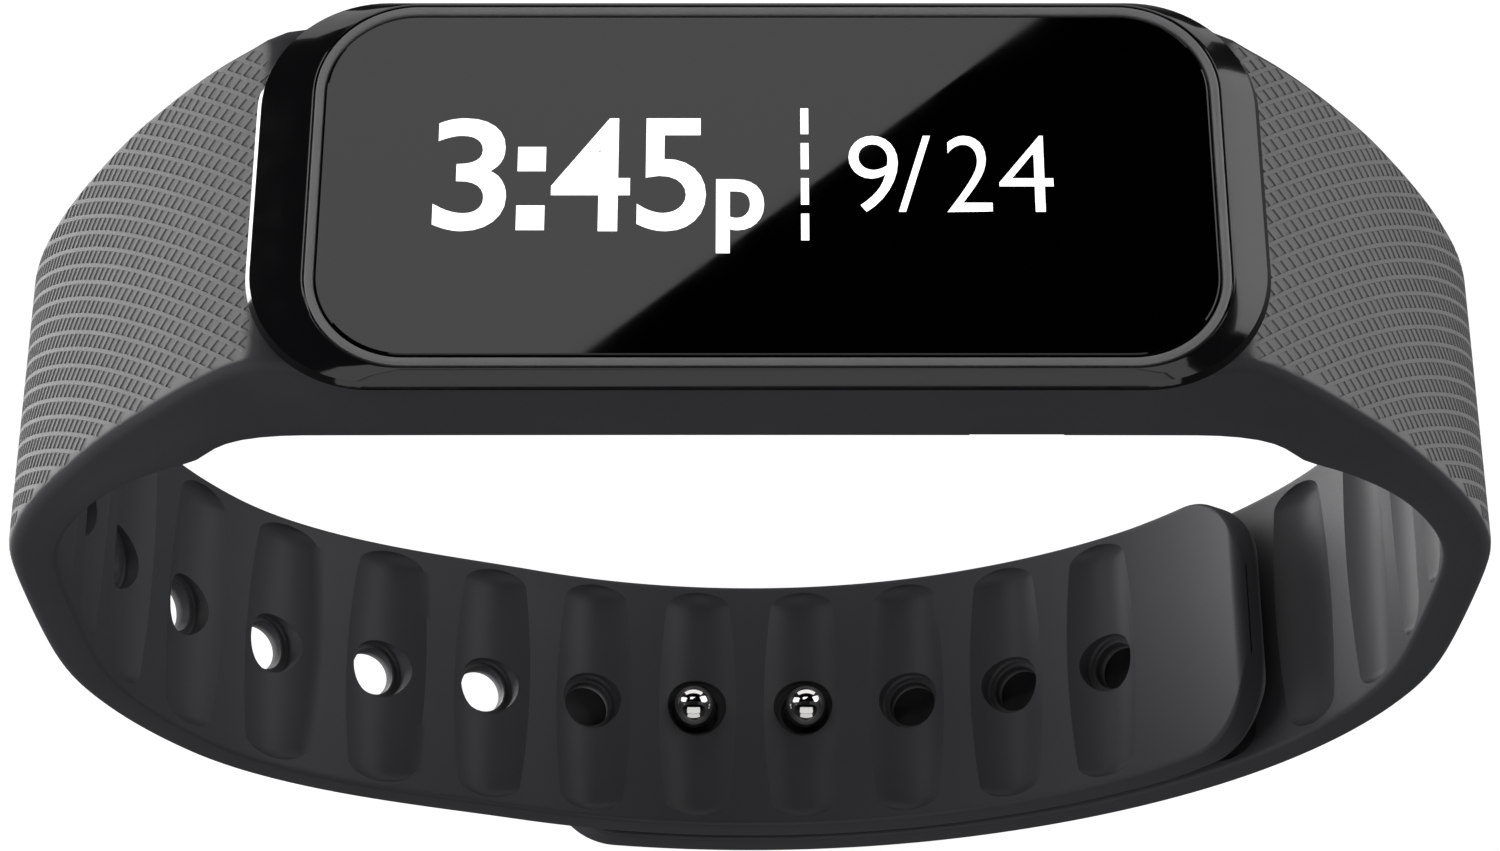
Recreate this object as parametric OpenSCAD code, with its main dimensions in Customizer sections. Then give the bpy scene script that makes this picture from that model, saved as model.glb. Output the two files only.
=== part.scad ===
// Fitness tracker band: a tracker pod that snaps into a circular silicone wristband.
// Frame: origin below the middle of the clasp plate, +Z up out of the display,
// +X along the display to the right, Y along the wearer's wrist. Millimetres.

/* [Wristband] */
// Radius of the closed band's outer face
ring_r = 35.7; // [34:0.1:38]
// Thickness of the silicone strap
strap_t = 2.3; // [2.1:0.1:2.6]
// Width of the strap below the pod
strap_w = 14.9; // [13:0.1:15.2]
// Gap between the inner and the outer strap where they overlap
overlap_gap = 0.3; // [0.25:0.05:0.5]
// Angle between two neighbouring strap holes, seen from the ring's centre
hole_pitch = 11.4; // [11:0.1:12]
// Radius of a strap hole
hole_r = 1.35; // [1.3:0.05:1.5]
// Where the inner strap ends, in degrees to the right of the clasp
tail_end = 60; // [56:1:64]
// Where the outer strap ends, in degrees to the left of the clasp
stud_end = 21; // [19:1:22]

/* [Cradle] */
// Width of the cradle that holds the pod
cradle_w = 17.6; // [17:0.1:18.4]
// Height of the cradle's top face
cradle_top = 64.7; // [64:0.1:65]
// Height of the cradle's flat underside
cradle_bottom = 59.2; // [58.8:0.1:59.6]

/* [Tracker pod] */
// Length of the bezel along the display
bezel_l = 43.3; // [42:0.1:44]
// Width of the bezel across the display
bezel_w = 19; // [18.4:0.1:19.6]
// Length of the cover glass
glass_l = 38.3; // [37:0.1:38.6]
// Width of the cover glass
glass_w = 16.9; // [16.4:0.1:17.2]
// Height of the bezel cap above the cradle
bezel_h = 0.9; // [0.8:0.05:1.2]
// Play round the pod in the cradle
pod_play = 0.15; // [0.1:0.05:0.3]

/* [Clasp] */
// Radius of a ball stud's head
ball_r = 1.25; // [1.1:0.05:1.25]
// Height of the middle of a ball stud's head
ball_z = 4.5; // [4.2:0.1:4.6]
// Radius of a ball stud's neck
neck_r = 0.75; // [0.6:0.05:0.9]
// Length of the clasp plate
plate_l = 14; // [12:0.5:15]
// Width of the clasp plate
plate_w = 10; // [8:0.5:12]
// Thickness of the clasp plate
plate_t = 0.9; // [0.7:0.05:1]

/* [Hidden] */
$fn = 48;

silicone = [0.2, 0.2, 0.21];
silicone_dark = [0.13, 0.13, 0.14];
gloss_black = [0.05, 0.05, 0.06];

// Radii of the two strap layers where they overlap
tail_outer_r = ring_r - strap_t - overlap_gap;
tail_inner_r = tail_outer_r - strap_t;
stud_inner_r = ring_r - strap_t;
// The long strap steps inwards between these angles to pass inside the stud strap
step_low = 25;
step_high = 65;
// The long strap's side is the stretch between these angles, with two holes in it
side_low = 6 * hole_pitch;
side_high = 8 * hole_pitch;
// The tail gets thinner on its outer face from this angle on, by this much
taper_start = 44;
taper = 0.7;
// Living hinges: where the straps are parted, and half of the slit between the parts
tip_split = -hole_pitch;
stud_split = -29.5;
slit = 0.25;
// The shoulders start to thicken here, by this much per square degree
shoulder_start = 115;
shoulder_gain = 0.0062;
// The arms meet the cradle at this X, and its flat underside ends at the second one
cradle_x = 23.5;
flat_x = 19.5;
arm_end = 150;
arc_step = 3;
cut = 60;

// Grooves along the inner face, and the counterbored holes in the middle of them
groove_r = 3.3;
groove_depth = 0.8;
groove_half = 5;
counterbore_r = 1.65;
counterbore_depth = 0.5;
half_pitch = hole_pitch / 2;

// Pod: its middle, its middle under the glass, and its heights from the bottom up
pod_x = 0.35;
glass_x = 0.75;
bezel_corner = 5.5;
glass_corner = 4;
bezel_base = cradle_top + 0.1;
bezel_top = bezel_base + bezel_h;
trim = 0.4;
body_l = 39.2;
body_w = 14.4;
body_corner = 3;
wall = 0.8;
ledge_z = 60.2;
floor_top = 60.9;
seam_z = 63.9;
seal_t = 0.15;
glass_t = 0.6;
gasket_t = 0.1;
touch_t = 0.15;
oled_t = 0.95;
frame_z = 63.5;
board_z = 62.8;
board_t = 0.6;
window_l = 32;
window_w = 11;
screw_x = 17.9;
screw_y = 5.5;
motor_x = 12.8;
motor_r = 4;

// A point at radius r and angle a from straight below the ring's centre, to the left
function ring_point(r, a) = [-r * sin(a), ring_r - r * cos(a)];

function smooth(t) = t <= 0 ? 0 : t >= 1 ? 1 : t * t * (3 - 2 * t);

// Outer radius of the long strap, which steps in to pass inside the stud strap
function long_outer(a) =
    tail_outer_r + (ring_r - tail_outer_r) * smooth((a - step_low) / (step_high - step_low));

// Outer radius of the tail, which thins towards its tip
function tip_outer(a) =
    tail_outer_r - taper * smooth((-a - taper_start) / (tail_end - taper_start));

function thickness(a) = strap_t + shoulder_gain * pow(max(0, abs(a) - shoulder_start), 2);

function angles(from, to) =
    [for (i = [0 : ceil((to - from) / arc_step)]) min(to, from + i * arc_step)];

// Half of the band's width at height z: wide at the pod, narrower down the straps
band_outline = [[cradle_w / 2, cradle_top + 1], [cradle_w / 2, cradle_bottom],
    [8.35, 56], [7.7, 50], [7.4, 44], [strap_w / 2, 35], [strap_w / 2, -1]];

module rounded_plate(l, w, r, h) {
    for (sx = [-1, 1], sy = [-1, 1])
        translate([sx * (l / 2 - r), sy * (w / 2 - r), 0]) cylinder(r = r, h = h);
    translate([-l / 2, r - w / 2, 0]) cube([l, w - 2 * r, h]);
    translate([r - l / 2, -w / 2, 0]) cube([l - 2 * r, w, h]);
}

module ring_plate(l, w, r, h, t) {
    difference() {
        rounded_plate(l, w, r, h);
        translate([0, 0, -1]) rounded_plate(l - 2 * t, w - 2 * t, r - t, h + 2);
    }
}

// A side view in X and Z, drawn out along Y and trimmed to the band's width
module band_solid(points) {
    intersection() {
        rotate([90, 0, 0]) linear_extrude(cradle_w + 2, center = true) polygon(points);
        rotate([90, 0, 90]) linear_extrude(3 * ring_r, center = true)
            polygon(concat(band_outline, [for (i = [len(band_outline) - 1 : -1 : 0])
                [-band_outline[i].x, band_outline[i].y]]));
    }
}

// Moves its child to the ring's face: +Z then points outwards, X along the strap
module on_ring(a) {
    translate([0, 0, ring_r]) rotate([0, a, 0]) mirror([0, 0, 1]) children();
}

// A round-ended groove across the inner face, cut by a capsule lying along Y
module groove(a, r) {
    on_ring(a) translate([0, 0, r + groove_depth - groove_r]) rotate([90, 0, 0])
        rotate_extrude() intersection() {
            union() {
                translate([0, -groove_half]) square([groove_r, 2 * groove_half]);
                for (side = [-1, 1]) translate([0, side * groove_half]) circle(groove_r);
            }
            translate([0, -cut]) square([cut, 2 * cut]);
        }
}

module strap_hole(a, r) {
    on_ring(a) {
        cylinder(r = hole_r, h = cut);
        cylinder(r = counterbore_r, h = r + groove_depth + counterbore_depth);
    }
}

// Rounds both corners of a strap's end; dir is 1 at a left end and -1 at a right end
module end_corners(a, dir, r) {
    on_ring(a) for (side = [-1, 1]) mirror([0, side > 0 ? 0 : 1, 0]) difference() {
        translate([dir > 0 ? -2 : -r, strap_w / 2 - r, 1]) cube([r + 2, r + 2, cut]);
        translate([dir * r, strap_w / 2 - r, 0]) cylinder(r = r, h = cut + 2);
    }
}

module stud_places() {
    for (side = [-1, 1]) translate([side * tail_outer_r * sin(half_pitch), 0, 0]) children();
}

module band_cradle() {
    shoulder = [[cradle_x, 56.8], [21.9, 57.9], [flat_x, cradle_bottom]];
    top_angle = acos((ring_r - cradle_top) / ring_r);
    side_angle = 180 - asin(cradle_x / ring_r);
    rim = [for (a = angles(side_angle, top_angle)) ring_point(ring_r, a)];
    points = concat(rim, [for (i = [len(rim) - 1 : -1 : 0]) [-rim[i].x, rim[i].y]],
        shoulder, [for (i = [len(shoulder) - 1 : -1 : 0]) [-shoulder[i].x, shoulder[i].y]]);
    color(silicone_dark) difference() {
        band_solid(points);
        translate([pod_x, 0, ledge_z]) rounded_plate(body_l + 2 * pod_play,
            body_w + 2 * pod_play, body_corner, cut);
        translate([pod_x, 0, 0]) rounded_plate(window_l, window_w, 2, cut + cut);
        translate([9.4, -cradle_w / 2 - 1, cradle_bottom - 1]) cube([4.1, 1.6, 1.25]);
    }
}

// The stretch of the long strap between two angles, with the grooves and holes that fall in it
module long_stretch(from, to) {
    arc = angles(from, to);
    color(silicone) difference() {
        band_solid(concat([for (a = arc) ring_point(long_outer(a), a)],
            [for (i = [len(arc) - 1 : -1 : 0])
                ring_point(long_outer(arc[i]) - thickness(arc[i]), arc[i])]));
        for (i = [-1 : 9]) {
            a = (i + 0.5) * hole_pitch;
            if (a > from && a < to) {
                groove(a, long_outer(a) - strap_t);
                if (i >= 1 && i <= 7) strap_hole(a, long_outer(a) - strap_t);
            }
        }
    }
}

module long_strap_shoulder() {
    difference() {
        long_stretch(side_high, arm_end);
        translate([-cradle_x, -cut / 2, 40]) cube([cut, cut, cut]);
    }
}

module long_strap_side() { long_stretch(side_low, side_high); }

module long_strap() {
    difference() {
        long_stretch(tip_split + slit, side_low);
        stud_places() cylinder(r = hole_r, h = 10);
    }
}

module long_strap_tip() {
    arc = angles(-tail_end, tip_split - slit);
    color(silicone) difference() {
        band_solid(concat([for (a = arc) ring_point(tip_outer(a), a)],
            [for (i = [len(arc) - 1 : -1 : 0]) ring_point(tail_inner_r, arc[i])]));
        for (i = [1 : 3]) {
            groove(-(i + 0.5) * hole_pitch, tail_inner_r);
            strap_hole(-(i + 0.5) * hole_pitch, tail_inner_r);
        }
        end_corners(-tail_end, -1, 4);
    }
}

module short_strap() {
    arc = angles(-arm_end, stud_split - slit);
    color(silicone) difference() {
        band_solid(concat([for (a = arc) ring_point(ring_r, a)],
            [for (i = [len(arc) - 1 : -1 : 0])
                ring_point(ring_r - thickness(arc[i]), arc[i])]));
        translate([cradle_x - cut, -cut / 2, 40]) cube([cut, cut, cut]);
        for (i = [3 : 9]) groove(-(i + 0.5) * hole_pitch, stud_inner_r);
    }
}

module stud_strap_end() {
    arc = angles(stud_split + slit, stud_end);
    color(silicone) difference() {
        band_solid(concat([for (a = arc) ring_point(ring_r, a)],
            [for (i = [len(arc) - 1 : -1 : 0]) ring_point(stud_inner_r, arc[i])]));
        groove(-1.5 * hole_pitch, stud_inner_r);
        translate([-plate_l / 2, -plate_w / 2, -1]) cube([plate_l, plate_w, plate_t + 1]);
        stud_places() cylinder(r = neck_r, h = 10);
        end_corners(stud_end, 1, 3.5);
    }
}

module clasp_plate() {
    color("silver") translate([-plate_l / 2, -plate_w / 2, 0]) cube([plate_l, plate_w, plate_t]);
}

module clasp_studs() {
    color("gainsboro") stud_places() {
        translate([0, 0, plate_t]) cylinder(r = neck_r, h = ball_z - plate_t);
        translate([0, 0, ball_z]) sphere(ball_r);
    }
}

// The cap's sides slope from its outline up to the trim ring
module bezel_cap() {
    hull() {
        translate([pod_x, 0, bezel_base])
            rounded_plate(bezel_l, bezel_w, bezel_corner, 0.1, $fn = 32);
        translate([glass_x, 0, bezel_top - 0.1])
            rounded_plate(glass_l + 2 * trim, glass_w + 2 * trim, glass_corner + trim, 0.1, $fn = 32);
    }
}

module top_bezel() {
    color(gloss_black) difference() {
        union() {
            bezel_cap();
            translate([pod_x, 0, seam_z + seal_t])
                rounded_plate(body_l, body_w, body_corner, bezel_base - seam_z);
        }
        translate([glass_x, 0, bezel_top - glass_t - gasket_t]) rounded_plate(
            glass_l + 2 * trim, glass_w + 2 * trim, glass_corner + trim, 2);
        translate([pod_x, 0, seam_z - 1]) difference() {
            rounded_plate(body_l - 2 * wall, body_w - 2 * wall, body_corner - wall, 4);
            for (sx = [-1, 1], sy = [-1, 1])
                translate([sx * screw_x, sy * screw_y, 0]) cylinder(r = 1.1, h = 1.9);
        }
        screw_holes();
    }
}

module trim_ring() {
    color("dimgray") translate([glass_x, 0, bezel_top - glass_t - gasket_t]) ring_plate(
        glass_l + 2 * trim, glass_w + 2 * trim, glass_corner + trim, glass_t + gasket_t, trim);
}

module cover_glass() {
    color([0.1, 0.1, 0.12]) translate([glass_x, 0, bezel_top - glass_t])
        rounded_plate(glass_l, glass_w, glass_corner, glass_t);
}

module glass_gasket() {
    color("black") translate([glass_x, 0, bezel_top - glass_t - gasket_t])
        ring_plate(glass_l, glass_w, glass_corner, gasket_t, 1.3);
}

module touch_sensor() {
    color("darkslategray") translate([glass_x, 0, bezel_top - glass_t - touch_t])
        rounded_plate(34.8, 12.2, 2, touch_t);
}

module oled_panel() {
    color([0.02, 0.02, 0.05]) translate([glass_x, 0, bezel_top - glass_t - touch_t - oled_t])
        rounded_plate(33, 11.2, 0.6, oled_t);
}

// Ribbon from the panel's right edge down to the board
module display_flex() {
    side_x = glass_x + 16.5;
    color("darkorange") {
        translate([side_x, -2.5, 64.2]) cube([0.6, 5, 0.1]);
        translate([side_x + 0.5, -2.5, board_z + board_t]) cube([0.1, 5, 0.8]);
        translate([side_x - 1, -2.5, board_z + board_t]) cube([1.5, 5, 0.1]);
    }
}

module display_frame() {
    color("slategray") difference() {
        translate([pod_x, 0, frame_z]) rounded_plate(33, 12, 1, 0.5);
        for (i = [-2 : 2]) translate([pod_x + 6 * i, 0, frame_z - 1])
            rounded_plate(4.5, 8, 1, 3);
        translate([16.1, -3, frame_z - 1]) cube([5, 6, 3]);
    }
}

module main_board() {
    color("darkgreen") translate([pod_x, 0, board_z]) rounded_plate(33, 12, 1, board_t);
}

module chip(x, y, l, w, h) {
    translate([x - l / 2, y - w / 2, board_z - h]) cube([l, w, h]);
}

module processor_chip() { color("black") chip(5.2, 1.6, 4, 4, 0.8); }

module memory_chip() { color("black") chip(5.2, -2.8, 3, 2.4, 0.7); }

module motion_sensor() { color("dimgray") chip(1.2, 3.6, 2, 2, 0.7); }

module radio_chip() { color("black") chip(1.2, -3, 2.4, 2.4, 0.7); }

module antenna() { color("goldenrod") chip(1.2, 0.2, 1.2, 3, 0.6); }

module shield_can() {
    color("silver") difference() {
        chip(5.2, -0.2, 5.2, 8.6, 1.2);
        chip(5.2, -0.2, 4.8, 8.2, 1);
    }
}

module battery() {
    color("lightsteelblue") translate([-16, -5.6, floor_top + 0.1]) cube([15.6, 11.2, 1.7]);
}

module battery_leads() {
    color("firebrick") for (y = [-5.2, -4.6]) {
        translate([-0.4, y, 61.8]) rotate([0, 90, 0]) cylinder(r = 0.25, h = 0.9);
        translate([0.25, y, 61.8]) cylinder(r = 0.25, h = 1);
    }
}

module motor_case() {
    color("lightgray") translate([motor_x, 0, floor_top + 0.1]) difference() {
        cylinder(r = motor_r, h = 1.7);
        translate([0, 0, 0.2]) cylinder(r = motor_r - 0.25, h = 1.3);
    }
}

module motor_shaft() {
    color("silver") translate([motor_x, 0, floor_top + 0.3]) cylinder(r = 0.4, h = 1.3);
}

// The half disc that makes the motor shake, on a hub that runs on the shaft
module rotor_weight() {
    color("tan") translate([motor_x, 0, floor_top + 0.5]) difference() {
        union() {
            cylinder(r = 1.1, h = 0.9);
            intersection() {
                cylinder(r = 3.4, h = 0.9);
                translate([-4, 0, 0]) cube([8, 4, 0.9]);
            }
        }
        translate([0, 0, -1]) cylinder(r = 0.45, h = 3);
    }
}

module screw_holes() {
    for (sx = [-1, 1], sy = [-1, 1]) translate([pod_x + sx * screw_x, sy * screw_y, 0]) {
        translate([0, 0, 50]) cylinder(r = 0.42, h = 14.62);
        translate([0, 0, 50]) cylinder(r = 0.92, h = 10.62);
    }
}

module bottom_housing() {
    color(gloss_black) difference() {
        union() {
            translate([pod_x, 0, ledge_z]) rounded_plate(body_l, body_w, body_corner, seam_z - ledge_z);
            translate([pod_x, 0, cradle_bottom]) rounded_plate(window_l - 2 * pod_play,
                window_w - 2 * pod_play, 2 - pod_play, 1.2);
        }
        translate([pod_x, 0, floor_top]) difference() {
            rounded_plate(body_l - 2 * wall, body_w - 2 * wall, body_corner - wall, 4);
            for (sx = [-1, 1], sy = [-1, 1])
                translate([sx * screw_x, sy * screw_y, -1]) cylinder(r = 1.1, h = 6);
        }
        contact_places(0.6);
        screw_holes();
    }
}

module housing_seal() {
    color("black") translate([pod_x, 0, seam_z])
        ring_plate(body_l, body_w, body_corner, seal_t, wall);
}

module housing_screws() {
    color("silver") for (sx = [-1, 1], sy = [-1, 1])
        translate([pod_x + sx * screw_x, sy * screw_y, ledge_z]) {
            cylinder(r = 0.9, h = 0.4);
            cylinder(r = 0.4, h = 4.3);
        }
}

module contact_places(r) {
    for (i = [0 : 3]) translate([pod_x + 2.5 * (i - 1.5), 0, cradle_bottom - 0.01])
        cylinder(r = r, h = floor_top - cradle_bottom + 0.02);
}

module charging_contacts() {
    color("gold") for (i = [0 : 3]) translate([pod_x + 2.5 * (i - 1.5), 0, cradle_bottom])
        cylinder(r = 0.6, h = floor_top - cradle_bottom);
}

band_cradle();
long_strap_shoulder();
long_strap_side();
long_strap();
long_strap_tip();
short_strap();
stud_strap_end();
clasp_plate();
clasp_studs();
top_bezel();
trim_ring();
cover_glass();
glass_gasket();
touch_sensor();
oled_panel();
display_flex();
display_frame();
main_board();
processor_chip();
memory_chip();
motion_sensor();
radio_chip();
shield_can();
antenna();
battery();
battery_leads();
motor_case();
motor_shaft();
rotor_weight();
bottom_housing();
housing_seal();
housing_screws();
charging_contacts();
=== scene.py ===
"""Looks of the fitness tracker band: textured silicone strap, glossy pod, display, clasp, light
and camera.

Shapes are worked out in millimetres and degrees, and turned into metres when a mesh is made.
An angle along a strap is 180 at the pod, 0 straight below the ring's centre, and negative past
that.
"""

import math

import bmesh
import bpy
import numpy as np
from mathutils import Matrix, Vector


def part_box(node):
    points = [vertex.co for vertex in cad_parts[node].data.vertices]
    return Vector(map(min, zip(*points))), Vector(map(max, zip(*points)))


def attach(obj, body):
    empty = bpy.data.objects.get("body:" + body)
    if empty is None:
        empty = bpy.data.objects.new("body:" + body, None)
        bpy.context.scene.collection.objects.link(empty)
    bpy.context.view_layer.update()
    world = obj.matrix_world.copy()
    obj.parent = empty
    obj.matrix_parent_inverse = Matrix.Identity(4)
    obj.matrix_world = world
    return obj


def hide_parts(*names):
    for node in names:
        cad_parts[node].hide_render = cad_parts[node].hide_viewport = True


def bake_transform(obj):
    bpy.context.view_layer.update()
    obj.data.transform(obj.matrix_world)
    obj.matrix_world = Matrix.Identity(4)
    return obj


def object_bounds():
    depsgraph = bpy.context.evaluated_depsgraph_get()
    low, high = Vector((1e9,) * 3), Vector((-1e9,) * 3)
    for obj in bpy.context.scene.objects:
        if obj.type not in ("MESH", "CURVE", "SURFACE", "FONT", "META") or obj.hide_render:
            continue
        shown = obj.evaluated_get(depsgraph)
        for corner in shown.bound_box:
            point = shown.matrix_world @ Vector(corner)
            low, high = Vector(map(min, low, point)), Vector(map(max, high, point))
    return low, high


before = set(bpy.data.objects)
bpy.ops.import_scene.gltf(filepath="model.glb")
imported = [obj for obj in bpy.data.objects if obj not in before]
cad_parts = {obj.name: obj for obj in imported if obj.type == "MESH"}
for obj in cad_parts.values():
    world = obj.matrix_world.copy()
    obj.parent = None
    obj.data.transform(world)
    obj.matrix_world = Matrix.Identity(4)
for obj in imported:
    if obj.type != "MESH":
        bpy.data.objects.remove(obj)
cad_low, cad_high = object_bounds()

MM = 0.001


def box_mm(node):
    """Lowest and highest corner of a CAD node, in millimetres."""
    low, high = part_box(node)
    return np.array(low) / MM, np.array(high) / MM


# ---------------------------------------------------------------- sizes

RING_R = (cad_high.x - cad_low.x) / 2 / MM
CRADLE_HIGH = box_mm("band_cradle")[1]
CRADLE_TOP = CRADLE_HIGH[2]
CRADLE_BOTTOM = box_mm("charging_contacts")[0][2]
CRADLE_HALF = CRADLE_HIGH[1]
STRAP_HALF = box_mm("long_strap_tip")[1][1]

STRAP_T = 2.3
OVERLAP_GAP = 0.3
TAIL_R = RING_R - STRAP_T - OVERLAP_GAP
PITCH = 11.4
OUTER_FILLET, INNER_FILLET = 0.7, 0.25
END_ROUNDING = 0.5

# The angles below are where a change starts and where it is complete.
# The long strap steps in under the short one
STEP = (24, 58)
# The sides swell outwards over the first range, and give way to the straight arms over the second
BULGE, SWELL, BEND = 0.6, (22, 72), (98, 124)
# The arms run this much inside the ring, up to where they join the cradle
FLATTER, ARM_JOINS = 0.4, (129, 145)
UPRIGHT_BLEND, TOP_BLEND = 0.7, 0.15
# Where the arms get thicker, and where they turn into the cradle's flat underside, which lies
# FLAT_DROP below the charging contacts
SHOULDER_START, SHOULDER_GAIN = 115, 0.0062
FLATTENS, FLAT_DROP = (129, 141), 0.3
# Where the band widens: its outer face twice, its inner face once
ARM_WIDENS, CRADLE_WIDENS, INNER_WIDENS = (95, 140), (141, 150), (98, 138)

TAIL_END, TAIL_CORNER = 59, 4.5
TAPER_START, TAPER = 44, 0.7
STUD_END, STUD_CORNER = 19.5, 4

# The inner grooves: half width and depth in the middle, and where their round ends start and stop
GROOVE_HALF, GROOVE_DEPTH = 2.25, 0.8
GROOVE_CAP, GROOVE_STOP = 6.1, 7.0
# How much narrower a groove is at GROOVE_REACH, and how much shallower where it stops, as shares
GROOVE_NARROWS, GROOVE_REACH, GROOVE_SHALLOWS = 0.2, 6.4, 0.25
# Past a groove the mesh lines spread out to this half width, over this length, and never touch
LINE_SPREAD, SPREAD_LENGTH, LEAST_HALF = 0.6, 0.2, 0.05
FIRST_GROOVE = 9
PLAIN_STEP = 1.2

HOLE_R, COUNTERBORE_R, COUNTERBORE_DEPTH = 1.35, 1.72, 0.5
STUD_X = TAIL_R * math.sin(math.radians(PITCH / 2))
NECK_R, BALL_R, BALL_Z = 0.75, 1.25, 4.5
PLATE_HIGH = box_mm("clasp_plate")[1]

# The cuts in the cradle: room for the pod, the window under it, and the notch at the near edge
POD_PLAY, POD_CORNER = 0.15, 3.15
WINDOW_HALF, WINDOW_CORNER = (16, 5.5), 2
NOTCH_X, NOTCH_HALF, NOTCH_CORNER = 11.5, (2.05, 0.8), 0.3
NOTCH_OUT, NOTCH_HEIGHT = 0.2, 0.25
BEZEL_CORNER, TRIM_CORNER, BODY_CORNER, OPENING_CORNER = 5.5, 4.4, 3, 2.2

# The moulded texture: a lattice of shallow pockets. Steps are along the strap and across it
STEP_A = np.array([0.574, -0.409])
STEP_B = np.array([0.663, 0.391])
POCKET_SHARE, POCKET_DEPTH = 0.78, 0.075
# A pocket's cutter: its floor and its mouth as shares of the pocket, and the mouth's height
POCKET_FLOOR, POCKET_MOUTH, MOUTH_HEIGHT = 0.9, 1.25, 0.25
# How far a pocket's middle may lie on the rounded edge, and how far it keeps from a hole
EDGE_OVERLAP, HOLE_MARGIN = 0.15, 0.55
# The rows bend sideways over the first BEND_REACH below the texture's top, then run straight on
ROW_BEND, BEND_REACH = 0.009, 35
TEXTURE_TOP, TEXTURE_MARGIN = 144.5, 4

# What the depth attribute gains past the texture's top, which is smooth and dark, and on the
# rounded side edges, which are partly the smooth edge's own dark colour and partly painted shade:
# how much, where that starts, and over what length
TOP_GAIN, TOP_EARLY, TOP_FADE = 3, 1.5, 5
EDGE_SMOOTH_AND_SHADE_GAIN, EDGE_LATE, EDGE_FADE = 0.5, 0.1, 0.35


def smooth(t):
    t = np.clip(t, 0.0, 1.0)
    return t * t * (3 - 2 * t)


def rise(value, span):
    """0 before the span, 1 past it, and an even change between."""
    return smooth((value - span[0]) / (span[1] - span[0]))


def soft_minimum(a, b, blend):
    """The lower of two values, with a rounded change from one to the other."""
    return (a + b - np.sqrt((a - b) ** 2 + blend ** 2)) / 2


# ---------------------------------------------------------------- meshes


def mesh_object(name, points, faces):
    """A new object from points in millimetres, with its faces turned outwards."""
    mesh = bpy.data.meshes.new(name)
    mesh.from_pydata((np.asarray(points) * MM).tolist(), [], faces)
    bm = bmesh.new()
    bm.from_mesh(mesh)
    bmesh.ops.recalc_face_normals(bm, faces=bm.faces)
    bm.to_mesh(mesh)
    bm.free()
    piece = bpy.data.objects.new(name, mesh)
    bpy.context.scene.collection.objects.link(piece)
    return piece


def soften(piece, angle=30):
    """Smooth shading that breaks where two faces meet at more than the angle."""
    piece.data.shade_smooth()
    piece.data.set_sharp_from_angle(angle=math.radians(angle))


def carve(piece, cutter):
    """Cuts the closed shapes of the cutter out of the piece, and removes the cutter."""
    cut = piece.modifiers.new("cut", "BOOLEAN")
    cut.operation = "DIFFERENCE"
    cut.solver = "MANIFOLD"
    cut.object = cutter
    graph = bpy.context.evaluated_depsgraph_get()
    result = bpy.data.meshes.new_from_object(piece.evaluated_get(graph))
    piece.modifiers.clear()
    piece.data = result
    bpy.data.objects.remove(cutter)


def loft_faces(loops, size, around=True):
    """Quads between neighbouring loops of the same size; around joins the last loop to the
    first."""
    faces = []
    for k in range(loops if around else loops - 1):
        a, b = k * size, (k + 1) % loops * size
        faces += [(a + i, a + (i + 1) % size, b + (i + 1) % size, b + i) for i in range(size)]
    return faces


def loft(name, loops, around=False):
    """A closed skin over loops of points, with flat ends unless it goes around."""
    size = len(loops[0])
    faces = loft_faces(len(loops), size, around)
    if not around:
        faces += [tuple(range(size)), tuple(range((len(loops) - 1) * size, len(loops) * size))]
    return mesh_object(name, np.concatenate(loops), faces)


def rounded_loop(centre_x, half, corner, z, steps=20):
    """A rectangle with round corners at height z; half is its half length and half width."""
    turn = np.radians(np.linspace(0, 90, steps + 1))
    points = []
    for quarter, (sx, sy) in enumerate([(1, 1), (-1, 1), (-1, -1), (1, -1)]):
        angle = turn + quarter * math.pi / 2
        points += [
            (centre_x + sx * (half[0] - corner) + corner * math.cos(a),
             sy * (half[1] - corner) + corner * math.sin(a), z) for a in angle
        ]
    return np.array(points)


def outline(centre_x, half, corner, grow, z):
    """The same rectangle grown or shrunk all round."""
    return rounded_loop(centre_x, (half[0] + grow, half[1] + grow), corner + grow, z)


def lathe_points(profile, steps=40):
    """Rings of points round Z for a profile of (radius, height) pairs."""
    turn = np.radians(np.arange(steps) * 360 / steps)
    cosine, sine = np.cos(turn), np.sin(turn)
    return [np.stack([r * cosine, r * sine, np.full(steps, h)], 1) for r, h in profile]


def join_shapes(name, shapes):
    """One object from several (points, faces) shapes."""
    points, faces, count = [], [], 0
    for own_points, own_faces in shapes:
        points.append(own_points)
        faces += [tuple(i + count for i in face) for face in own_faces]
        count += len(own_points)
    return mesh_object(name, np.concatenate(points), faces)


def turned(profile, place, steps=40):
    """A lathed (points, faces) shape whose points go through the place function."""
    rings = lathe_points(profile, steps)
    faces = loft_faces(len(rings), steps, around=False)
    faces += [tuple(range(steps)), tuple(range((len(rings) - 1) * steps, len(rings) * steps))]
    return place(np.concatenate(rings)), faces


# ---------------------------------------------------------------- band


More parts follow.
